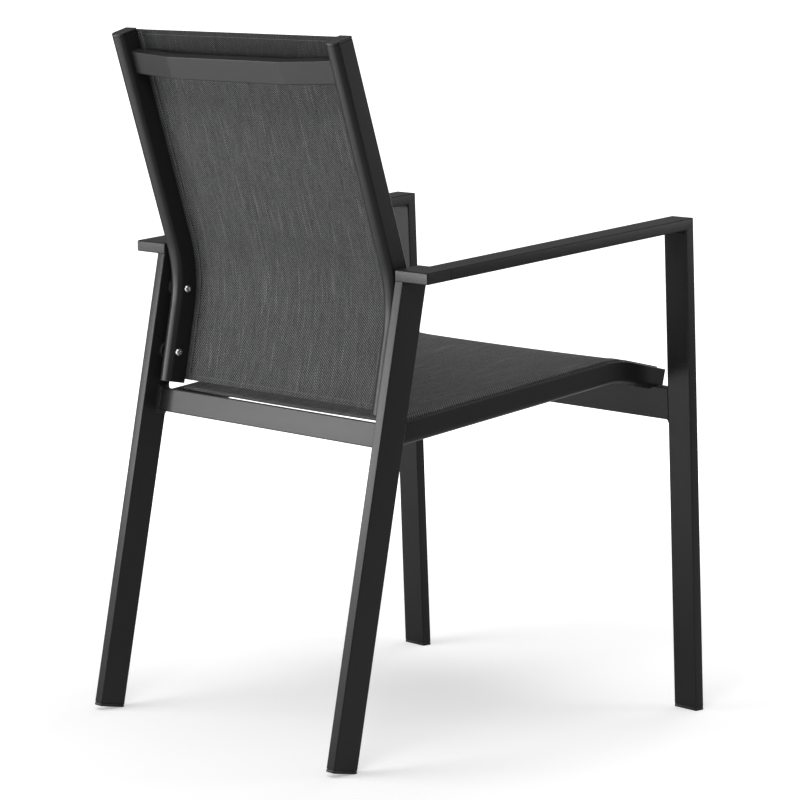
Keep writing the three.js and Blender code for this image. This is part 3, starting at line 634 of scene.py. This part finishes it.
def rail_outline(hand, slotted):
    """One rail's section, across along X and up to its top face, with or without its keder slot."""
    half = RAIL_WIDTH / 2
    corner = RAIL_CORNER
    outer = arc((half - corner, -corner), corner, corner, 0, QUARTER, steps=5)
    inner = arc((corner - half, -corner), corner, corner, QUARTER, 2 * QUARTER, steps=5)
    nose = arc((0, RAIL_NOSE - RAIL_DEPTH), half, RAIL_NOSE, 2 * QUARTER, 4 * QUARTER, steps=32)
    slot = []
    if slotted:
        half_slot = SLOT_WIDTH / 2
        radius = KEDER_BORE_RADIUS
        mouth = math.acos(half_slot / radius)
        bore = arc((SLOT_OFFSET, KEDER_UP), radius, radius, mouth, -2 * QUARTER - mouth, steps=24)
        slot = [(SLOT_OFFSET + half_slot, 0), *bore, (SLOT_OFFSET - half_slot, 0)]
    return [(hand * (RAIL_CENTRE_X + across), up) for across, up in (*outer, *slot, *inner, *nose)]


def straight_rail(line, start, end, hand):
    """A slotted rail, not yet laid on its line."""
    piece = polygon(rail_outline(hand, slotted=True), start)
    run_along(piece, line.stops(start, end, RAIL_SPACING))
    return piece


def back_rail(side, hand):
    piece = straight_rail(back_line, -BACK_LOWER_LENGTH, BACK_UPPER_LENGTH, hand)
    lay(piece, back_line)
    settle(piece, f"back_rail_{side}_extrusion", coat)
    stand_for(piece, f"back_rail_{side}")


def seat_rail(side, hand):
    """A seat rail, mitred to the rear crossbar's face and coped over the front crossbar."""
    piece = straight_rail(seat_line, -SEAT_FRONT_LENGTH, SEAT_REAR_LENGTH, hand)
    mitre = math.tan(SEAT_REAR_SLOPE + REAR_LEG_LEAN)
    for vertex in piece.data.vertices:
        if vertex.co.z > SEAT_REAR_LENGTH - MERGE_DISTANCE:
            vertex.co.z -= vertex.co.y * mitre
    lay(piece, seat_line)
    cope(piece, hand)
    settle(piece, f"seat_rail_{side}_extrusion", coat)
    stand_for(piece, f"seat_rail_{side}")


def cope(piece, hand):
    """Takes the front crossbar's space, and what lies ahead of it, out of a rail's end."""
    crossbar = centre_of("front_crossbar")
    place = (hand * RAIL_CENTRE_X, crossbar.y - COPE_AHEAD / 2, crossbar.z)
    depth = FRONT_CROSSBAR_DEPTH + COPE_ROOM_DEPTH + COPE_AHEAD
    deselect()
    bpy.ops.mesh.primitive_cube_add(size=1, location=place)
    cutter = bpy.context.object
    cutter.scale = (COPE_WIDTH, depth, FRONT_CROSSBAR_HEIGHT + COPE_ROOM_HEIGHT)
    cutter.rotation_euler = (-FRONT_LEG_LEAN, 0, 0)
    bpy.context.view_layer.update()
    modifier = piece.modifiers.new("cope", "BOOLEAN")
    modifier.operation = "DIFFERENCE"
    modifier.solver = "EXACT"
    modifier.object = cutter
    apply_modifiers(piece)
    bpy.data.objects.remove(cutter)


# Tubes

def finished_copy(node, kind, material, welded=()):
    """A merged, smooth copy of a solid whose shape is right, welded at its ends that face these ways."""
    take(frame["nodes"][node])
    bpy.ops.object.duplicate()
    piece = bpy.context.object
    bpy.ops.object.parent_clear(type="CLEAR_KEEP_TRANSFORM")
    for key in list(piece.keys()):
        if key.startswith("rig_"):
            del piece[key]
    edit(piece, "SELECT")
    bpy.ops.mesh.remove_doubles(threshold=MERGE_DISTANCE)
    leave_edit()
    for way, run in welded:
        reach(piece, way, run)
    settle(piece, f"{node}_{kind}", material)
    stand_for(piece, node)
    return piece


def reach(piece, way, run):
    """Brings a tube's cut end that faces one way against the piece that it is welded to.

    Where the tube's run is given, the end is drawn on along it too, to fill the other's round edge.
    """
    faces = piece.data.polygons
    facing = [face for face in faces if face.normal.dot(way) > FACING]
    furthest = max(face.center.dot(way) for face in facing)
    end = {face.index for face in facing if face.center.dot(way) > furthest - END_DEPTH}
    for corner in {corner for index in end for corner in faces[index].vertices}:
        piece.data.vertices[corner].co += way * WELD_GAP
    if run is not None:
        edit(piece)
        pick(piece, "FACE", lambda face, middle: face.index in end)
        extrude(run * WELD_FILL)
        bpy.ops.transform.resize(value=(FILL_TAPER, FILL_TAPER, FILL_TAPER))
        leave_edit()


def heighten(piece, way, rise):
    """Moves the upper half of a tube up, along its section's slant."""
    heights = [vertex.co.dot(way) for vertex in piece.data.vertices]
    middle = (min(heights) + max(heights)) / 2
    for vertex, height in zip(piece.data.vertices, heights):
        if height > middle:
            vertex.co += way * rise


def top_bar():
    """The bar across the back: one tube bent rearward twice, welded between the back rails."""
    slope = TOP_BAR_BOW / (RAIL_INNER_X - TOP_BAR_BEND_X)
    half = TOP_BAR_BEND_RADIUS * math.tan(math.atan(slope) / 2)
    before = TOP_BAR_BEND_X - half
    after = TOP_BAR_BEND_X + half
    bend = [TOP_BAR_BEND_X + half * (2 * step / 8 - 1) for step in range(9)]
    marks = [before - TOP_BAR_BEND_MARGIN, *bend, after + TOP_BAR_BEND_MARGIN, RAIL_INNER_X]
    stops = [*(-mark for mark in reversed(marks)), *marks]
    piece = polygon(rounded_rectangle(TOP_BAR_THICKNESS, TOP_BAR_HEIGHT, TOP_BAR_CORNER), stops[0])
    run_along(piece, stops)
    for vertex in piece.data.vertices:
        depth, rise, across = vertex.co
        beyond = min(max((abs(across) - before) / (2 * half), 0), 1)
        straight = max(abs(across) - after, 0)
        fall = half * slope * beyond ** 2 + straight * slope
        up = TOP_BAR_THICKNESS / 2 - TOP_BAR_REAR - TOP_BAR_BOW + fall + depth
        vertex.co = back_line.point(across, up, TOP_BAR_RISE + TOP_BAR_HEIGHT / 2 + rise)
    settle(piece, "back_top_bar_tube", coat)
    stand_for(piece, "back_top_bar")


# Slings

def pocket_section(hand):
    """The line of one pocket's cloth: from the seam over the rail's lip, down round the rod and back."""
    keder_x = RAIL_CENTRE_X + SLOT_OFFSET
    touch = PLY / 2 + NECK_CLEARANCE
    neck = math.asin(touch / POCKET_RADIUS)
    bend = (keder_x + touch - SLING_BEND, TOP_PLY - SLING_BEND)
    flat = bend[0] - SEAM_X
    line = [
        *((SEAM_X + flat * step / 8, TOP_PLY) for step in range(8)),
        *arc(bend, SLING_BEND, SLING_BEND, QUARTER, 0, steps=6),
        *arc((keder_x, KEDER_UP), POCKET_RADIUS, POCKET_RADIUS, QUARTER - neck, neck - 3 * QUARTER, steps=22),
        *((keder_x - touch - inward, UNDER_PLY - down) for inward, down in NECK_BEND),
        (SEAM_X + POCKET_SEAM / 2, UNDER_PLY),
        (SEAM_X, UNDER_PLY),
    ]
    return [(hand * across, up) for across, up in line]


def panel_section():
    return [(SEAM_X * (2 * step / PANEL_COLUMNS - 1), TOP_PLY) for step in range(PANEL_COLUMNS + 1)]


def fold(travel, way):
    """The half circle of a fold, from under the panel to its face, as (travel, depth below its face)."""
    points = []
    for step in range(-3, 4):
        angle = QUARTER * step / 3
        inward = FOLD_RADIUS * (1 - math.cos(angle))
        points.append((travel + way * inward, FOLD_RADIUS * (1 - math.sin(angle))))
    return points


def folded(start, end, hems, stops):
    """The panel's length as (travel, depth below its face): folded under by a hem at each end."""
    low_hem, high_hem = hems
    deep = 2 * FOLD_RADIUS
    clear = FOLD_RADIUS * 1.5
    first = [(start + low_hem, deep), (start + low_hem / 2, deep), *fold(start, 1)]
    last = [*reversed(fold(end, -1)), (end - high_hem / 2, deep), (end - high_hem, deep)]
    middle = [(travel, 0) for travel in stops if start + clear < travel < end - clear]
    return [*first, *middle, *last]


def distances(points):
    """How far each point lies along the line through all of them."""
    run = [0.0]
    for (x, y), (next_x, next_y) in zip(points, points[1:]):
        run.append(run[-1] + math.hypot(next_x - x, next_y - y))
    return run


def cloth(name, line, section, rows, sag=0.0, ply=None):
    """A sheet whose columns follow the section and whose rows follow the line, with its measure as UV."""
    last_column = len(section) - 1
    last_row = len(rows) - 1
    deselect()
    bpy.ops.mesh.primitive_grid_add(
        x_subdivisions=last_column, y_subdivisions=last_row, size=1, calc_uvs=True
    )
    piece = bpy.context.object
    mesh = piece.data
    side = distances(section)
    length = distances(rows)
    offset = section[0][0] if section[0][0] < section[-1][0] else -section[0][0]
    spots = []
    for vertex in mesh.vertices:
        column = round((vertex.co.x + 0.5) * last_column)
        row = round((vertex.co.y + 0.5) * last_row)
        spots.append((side[column] + offset, length[row]))
        across, up = section[column]
        travel, deep = rows[row]
        drop = sag * (1 - (across / SEAM_X) ** 2)
        vertex.co = line.point(across, up - deep - drop, travel)
    mesh.uv_layers[0].name = "cloth"
    for loop, corner in zip(mesh.loops, mesh.uv_layers[0].data):
        corner.uv = spots[loop.vertex_index]
    if ply:
        modifier = piece.modifiers.new("ply", "SOLIDIFY")
        modifier.thickness = ply
        modifier.offset = 0
        apply_modifiers(piece)
    settle(piece, name, weave, angle=60, flats=False)
    return piece


def stitch_row(length):
    """Stitches in a straight row along Z, from 0 to the length."""
    count = int(length / STITCH_PITCH)
    deselect()
    bpy.ops.mesh.primitive_uv_sphere_add(segments=6, ring_count=5, radius=1)
    piece = bpy.context.object
    piece.scale = (STITCH_RADIUS, STITCH_RADIUS, STITCH_LENGTH / 2)
    bpy.ops.object.transform_apply(scale=True)
    modifier = piece.modifiers.new("row", "ARRAY")
    modifier.use_relative_offset = False
    modifier.use_constant_offset = True
    modifier.constant_offset_displace = (0, 0, STITCH_PITCH)
    modifier.count = count
    apply_modifiers(piece)
    shift = (length - (count - 1) * STITCH_PITCH) / 2
    for vertex in piece.data.vertices:
        vertex.co.z += shift
    return piece


def row_across(travel, up):
    """A row of stitches along a hem, from pocket to pocket."""
    reach_x = SEAM_X - HEM_ROW_END
    row = stitch_row(2 * reach_x)
    for vertex in row.data.vertices:
        x, y, z = vertex.co
        vertex.co = (z - reach_x, y + up, travel + x)
    return row


def row_along(across, up, start, end):
    """A row of stitches along a pocket's seam."""
    row = stitch_row(end - start)
    for vertex in row.data.vertices:
        vertex.co += Vector((across, up, start))
    return row


def sewing(name, line, start, end, hems, sag):
    """All the stitches of a sling: a row along each pocket and each hem, on both faces of the cloth."""
    rows = []
    for hand in SIDES.values():
        for up in (TOP_PLY + PLY / 2 + STITCH_LIFT, UNDER_PLY - PLY / 2 - STITCH_LIFT):
            rows.append(row_along(hand * (SEAM_X + SEAM_INSET), up, start + SEAM_ROW_END, end - SEAM_ROW_END))
    low_hem, high_hem = hems
    ends = {start + low_hem - SEAM_INSET, end - HEM_WIDTH + SEAM_INSET, end - high_hem + SEAM_INSET}
    for travel in sorted(ends):
        for up in (TOP_PLY + STITCH_LIFT, UNDER_PLY - STITCH_LIFT):
            rows.append(row_across(travel, up))
    deselect()
    for row in rows:
        row.select_set(True)
    bpy.context.view_layer.objects.active = rows[0]
    bpy.ops.object.join()
    piece = bpy.context.object
    for vertex in piece.data.vertices:
        across, up, travel = vertex.co
        drop = sag * max(0, 1 - (across / SEAM_X) ** 2)
        vertex.co = line.point(across, up - drop, travel)
    settle(piece, name, thread, flats=False)
    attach(piece, "root")
    return piece


def sling(part, line, span, hems, sag):
    """A sling: its panel with a folded hem at each end, a pocket on each side and the sewing."""
    node = f"{part}_sling"
    start, end = span
    stops = line.stops(start, end, CLOTH_SPACING)
    panel = cloth(f"{node}_panel", line, panel_section(), folded(start, end, hems, stops), sag)
    stand_for(panel, node)
    extras = [sewing(f"{node}_stitches", line, start, end, hems, sag)]
    for side, hand in SIDES.items():
        rows = [(travel, 0) for travel in stops]
        pocket = cloth(f"{node}_pocket_{side}", line, pocket_section(hand), rows, ply=PLY)
        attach(pocket, "root")
        extras.append(pocket)


# Caps and screws

def cap(node, hand, travel, plate, edge, groove):
    """A cap on a back rail's end: a plate of the rail's outline with a soft rim, some on a groove."""
    sign = 1 if travel > 0 else -1
    base = groove or CAP_GAP
    piece = polygon(rail_outline(hand, slotted=False), 0)
    edit(piece, "SELECT")
    extrude((0, 0, plate))
    pick(piece, "EDGE", lambda part, middle: middle.z > plate * 0.9)
    bpy.ops.mesh.bevel(offset=edge, segments=5, profile=0.5)
    if groove:
        pick(piece, "FACE", lambda part, middle: middle.z < plate * 0.01 and abs(part.normal.z) > FACING)
        bpy.ops.mesh.inset(thickness=CAP_GROOVE_INSET)
        extrude((0, 0, CAP_GAP - groove))
    leave_edit()
    for vertex in piece.data.vertices:
        across, up, rise = vertex.co
        vertex.co = back_line.point(across, up, travel + sign * (rise + base))
    settle(piece, f"{node}_moulding", plastic)
    stand_for(piece, node)


def turned(profile, sides):
    """A piece turned on the Z axis: a disc extruded through rings of (radius, height), its ends closed."""
    radius, height = profile[0]
    deselect()
    base = (0, 0, height)
    bpy.ops.mesh.primitive_circle_add(vertices=sides, radius=radius, fill_type="NGON", location=base)
    piece = bpy.context.object
    bpy.ops.object.transform_apply(location=True)
    edit(piece, "SELECT")
    for next_radius, next_height in profile[1:]:
        extrude((0, 0, next_height - height))
        share = next_radius / radius
        bpy.ops.transform.resize(value=(share, share, 1), center_override=(0, 0, next_height))
        radius, height = next_radius, next_height
    leave_edit()
    return piece


def turn_to_x(piece, hand, place):
    """Lays a turned piece along X, its top towards the middle of the chair, with its base at the place."""
    for vertex in piece.data.vertices:
        x, y, z = vertex.co
        vertex.co = (place[0] - hand * z, place[1] + x, place[2] + y * hand)


def screw(level, side, hand):
    """A button-head screw with a hexagon socket, through the rail into the leg."""
    node = f"back_bolt_{level}_{side}"
    centre = centre_of(node)
    tip_inset, tip_length = SCREW_TIP
    shank = [
        (SCREW_RADIUS - tip_inset, -SCREW_LENGTH),
        (SCREW_RADIUS, tip_length - SCREW_LENGTH),
        (SCREW_RADIUS, 0),
        (SCREW_HEAD_RADIUS - SCREW_EDGE, 0),
        (SCREW_HEAD_RADIUS, SCREW_EDGE),
    ]
    rim = 2 * SCREW_EDGE
    dome_width = SCREW_HEAD_RADIUS - SCREW_FLAT_RADIUS
    dome = arc((SCREW_FLAT_RADIUS, rim), dome_width, SCREW_HEAD_HEIGHT - rim, 0, QUARTER, steps=7)
    piece = turned([*shank, *dome], SCREW_SIDES)
    near_top = SCREW_HEAD_HEIGHT - SOCKET_RIM
    edit(piece)
    pick(piece, "FACE", lambda part, middle: middle.z > near_top and part.normal.z > FACING)
    bpy.ops.mesh.inset(thickness=SOCKET_RIM)
    leave_edit()
    top = [vertex for vertex in piece.data.vertices if vertex.co.z > near_top]
    for vertex in sorted(top, key=lambda vertex: vertex.co.xy.length)[:SCREW_SIDES]:
        angle = math.atan2(vertex.co.y, vertex.co.x)
        within = (angle % (math.pi / 3)) - math.pi / 6
        out = SOCKET_HALF_WIDTH / math.cos(within)
        vertex.co.xy = (out * math.cos(angle), out * math.sin(angle))
    edit(piece)
    pick(piece, "FACE", lambda part, middle: middle.z > near_top and len(part.vertices) == SCREW_SIDES)
    extrude((0, 0, -SOCKET_DEPTH))
    bpy.ops.mesh.inset(thickness=SOCKET_FLOOR_INSET)
    bpy.ops.transform.translate(value=(0, 0, -SOCKET_FLOOR_CONE))
    leave_edit()
    turn_to_x(piece, hand, (hand * RAIL_INNER_X, centre.y, centre.z))
    settle(piece, f"{node}_screw", steel, angle=30)
    stand_for(piece, node)


def spacer(level, side, hand):
    """A round-edged spacer between the rail and the leg."""
    node = f"back_spacer_{level}_{side}"
    low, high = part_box(node)
    centre = centre_of(node)
    radius = (high.y - low.y) / 2
    depth = high.x - low.x + 2 * WELD_GAP
    edge = SPACER_EDGE
    lower = arc((radius - edge, edge), edge, edge, -QUARTER, 0, steps=4)
    upper = arc((radius - edge, depth - edge), edge, edge, 0, QUARTER, steps=4)
    piece = turned([*lower, *upper], SPACER_SIDES)
    turn_to_x(piece, hand, (centre.x + hand * depth / 2, centre.y, centre.z))
    settle(piece, f"{node}_ring", plastic)
    stand_for(piece, node)


# The tubes, with the way that each welded end faces, and the tube's run where the end fills a round edge
MEMBERS = {
    "front_leg": (),
    "rear_leg": ((UPWARD, REAR_LEG_RUN),),
    "arm": ((REARWARD, ARM_RUN), (ARM_MITRE, None)),
    "arm_end": (),
}
CROSSBAR_ENDS = ((SIDEWAYS, None), (-SIDEWAYS, None))

# The back rails' caps: the travel, the plate's thickness, its rim's bevel and the groove under it
CAPS = {
    "back_rail_top_cap": (BACK_UPPER_LENGTH, 0.0031, 0.0011, 0.001),
    "back_rail_lower_plug": (-BACK_LOWER_LENGTH, 0.0013, 0.0005, 0),
}

for side, hand in SIDES.items():
    back_rail(side, hand)
    seat_rail(side, hand)
    for member, welded in MEMBERS.items():
        finished_copy(f"{member}_{side}", "tube", coat, welded)
    for plug in ("front_foot_plug", "rear_foot_plug", "seat_rail_front_cap"):
        finished_copy(f"{plug}_{side}", "moulding", plastic)
    for part, sizes in CAPS.items():
        cap(f"{part}_{side}", hand, *sizes)
    for level in ("lower", "upper"):
        screw(level, side, hand)
        spacer(level, side, hand)
        frame["nodes"][f"rivet_nut_{level}_{side}"].data.materials[0] = zinc
    for keder in ("seat_keder", "back_keder"):
        frame["nodes"][f"{keder}_{side}"].data.materials[0] = rod

finished_copy("front_crossbar", "tube", coat, CROSSBAR_ENDS)
rear_crossbar = finished_copy("rear_crossbar", "tube", coat, CROSSBAR_ENDS)
heighten(rear_crossbar, REAR_LEG_RUN, REAR_CROSSBAR_RISE)
top_bar()

sling("back", back_line, BACK_SLING, (HEM_WIDTH, TOP_HEM_WIDTH), 0.0)
sling("seat", seat_line, SEAT_SLING, (HEM_WIDTH, HEM_WIDTH), SEAT_SAG)


# Camera, floor and light

# What the camera sees of the floor: a glow all over, more from a ring round the chair's rear on, and more
# again far away, each with the distances over which it comes up
FLOOR_LEVEL = 0.7
FLOOR_GLOW = 0.357
RING_CENTRE = (0, 0.4, 0)
RING_GLOW = 0.162
RING_START = (0.35, 0.8)
FAR_GLOW = 0.8
FAR_START = (0.7, 2.0)

# What the tubes mirror of the floor: a glow behind the chair, from these depths on, and from these widths on
MIRRORED_GLOW = 1.9
MIRRORED_DEPTH_START = (0.8, 1.6)
MIRRORED_WIDTH_START = (-0.6, 0.1)

WORLD_LEVEL = 0.17

# Each lamp's place, the point that it faces, its width and height, and its watts
SOFTBOXES = {
    "key": ((0.861, 2.079, 0.66), (0, 0, 0.45), (1.24, 0.5), 14),
    "key_side": ((1.591, 1.591, 0.66), (0, 0, 0.45), (0.62, 0.5), 9.6),
    "fill": ((-2.6, 1.3, 1.2), (0, 0, 0.45), (1.6, 1.6), 2),
    "top": ((0, 0, 2.8), (0, 0, 0), (2.2, 2.2), 24),
    "rear_top": ((0.6, 1.5, 2.3), (0, 0, 0.45), (0.9, 0.9), 13),
    "rear_top_right": ((-1.2, 1.5, 2.3), (0, 0, 0.45), (0.9, 0.9), 18),
    "front": ((0.6, -2.6, 1.2), (0, 0, 0.45), (1.6, 1.6), 18),
    "front_right": ((-1.8, -2.0, 0.9), (0, 0, 0.6), (1.0, 0.8), 9.6),
}


def camera():
    data = bpy.data.cameras.new("camera")
    data.sensor_width = 36
    data.lens = 152.25
    data.shift_x = -0.0008
    data.shift_y = -0.0025
    data.clip_end = 200
    view = bpy.data.objects.new("camera", data)
    view.location = (-3.2968, 2.85535, 1.02726)
    view.rotation_euler = (math.radians(81.9536), math.radians(0.1135), math.radians(228.8529))
    bpy.context.scene.collection.objects.link(view)
    bpy.context.scene.camera = view


def floor():
    """A pale floor that takes the chair's shadow, white to the camera far away."""
    deselect()
    bpy.ops.mesh.primitive_plane_add(size=160)
    ground = bpy.context.object
    ground.name = "floor"
    finish = Finish("floor", specular_ior_level=0.0, roughness=1.0, emission_strength=1.0)
    finish.shader.inputs["Base Color"].default_value = grey(FLOOR_LEVEL)
    viewed = finish.node("ShaderNodeLightPath", output="Is Camera Ray")
    mirrored = finish.node("ShaderNodeLightPath", output="Is Glossy Ray")
    place = finish.node("ShaderNodeTexCoord", output="Object")
    around = finish.ramp(finish.distance(place, RING_CENTRE), *RING_START)
    away = finish.ramp(finish.distance(place, (0, 0, 0)), *FAR_START)
    behind = finish.ramp(finish.part_of(place, "Y"), *MIRRORED_DEPTH_START)
    beside = finish.ramp(finish.part_of(place, "X"), *MIRRORED_WIDTH_START)
    seen_glow = viewed * (FLOOR_GLOW + around * RING_GLOW + away * FAR_GLOW)
    finish.surface(Emission_Color=seen_glow + mirrored * behind * beside * MIRRORED_GLOW)
    ground.data.materials.append(finish.material)


def world():
    sky = bpy.data.worlds.new("studio")
    bpy.context.scene.world = sky
    sky.use_nodes = True
    surround = sky.node_tree.nodes["Background"]
    surround.inputs["Color"].default_value = (1, 1, 1, 1)
    surround.inputs["Strength"].default_value = WORLD_LEVEL


def softbox(name, place, aim, size, watts):
    data = bpy.data.lights.new(name, "AREA")
    data.shape = "RECTANGLE"
    data.size, data.size_y = size
    data.energy = watts
    lamp = bpy.data.objects.new(name, data)
    lamp.location = place
    toward = Vector(aim) - Vector(place)
    lamp.rotation_euler = toward.to_track_quat("-Z", "Y").to_euler()
    lamp.visible_camera = False
    bpy.context.scene.collection.objects.link(lamp)


camera()
floor()
world()
for name, settings in SOFTBOXES.items():
    softbox(f"{name}_softbox", *settings)

bpy.context.scene.view_settings.view_transform = "Standard"
